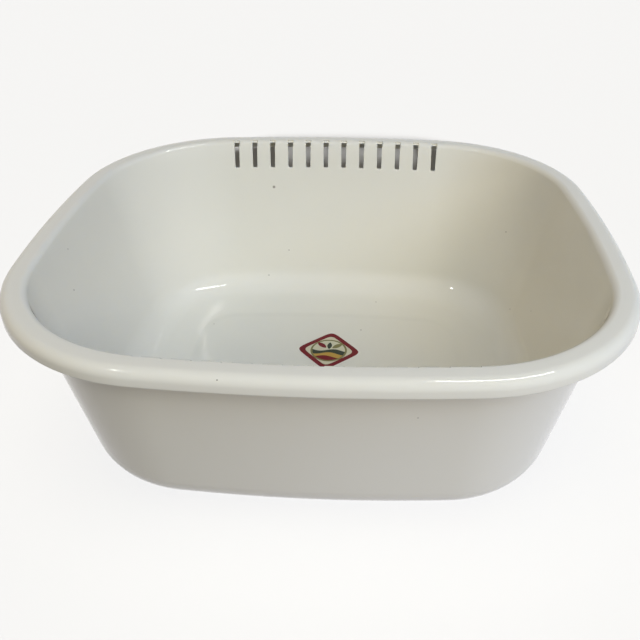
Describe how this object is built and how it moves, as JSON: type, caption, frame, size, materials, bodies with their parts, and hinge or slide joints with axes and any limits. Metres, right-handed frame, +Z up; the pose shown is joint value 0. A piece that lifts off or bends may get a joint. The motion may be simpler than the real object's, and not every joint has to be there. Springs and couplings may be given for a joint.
{
  "type": "washing up bowl",
  "caption": "Rounded-rectangular plastic washing up bowl with tapering walls, a rolled rim, rows of drain slots under the rim and a label on its floor.",
  "frame": {"origin": "middle of the base, on the surface that the bowl stands on", "axes": "+X along the bowl's length, -Y towards the front long side, +Z up"},
  "size_m": [0.38, 0.342, 0.135],
  "materials": {
    "bowl_plastic": "glossy moulded cream polypropylene",
    "label_print": "printed self-adhesive film, satin"
  },
  "bodies": {
    "root": {"bowl": "bowl_plastic", "label": "label_print"}
  },
  "joints": []
}
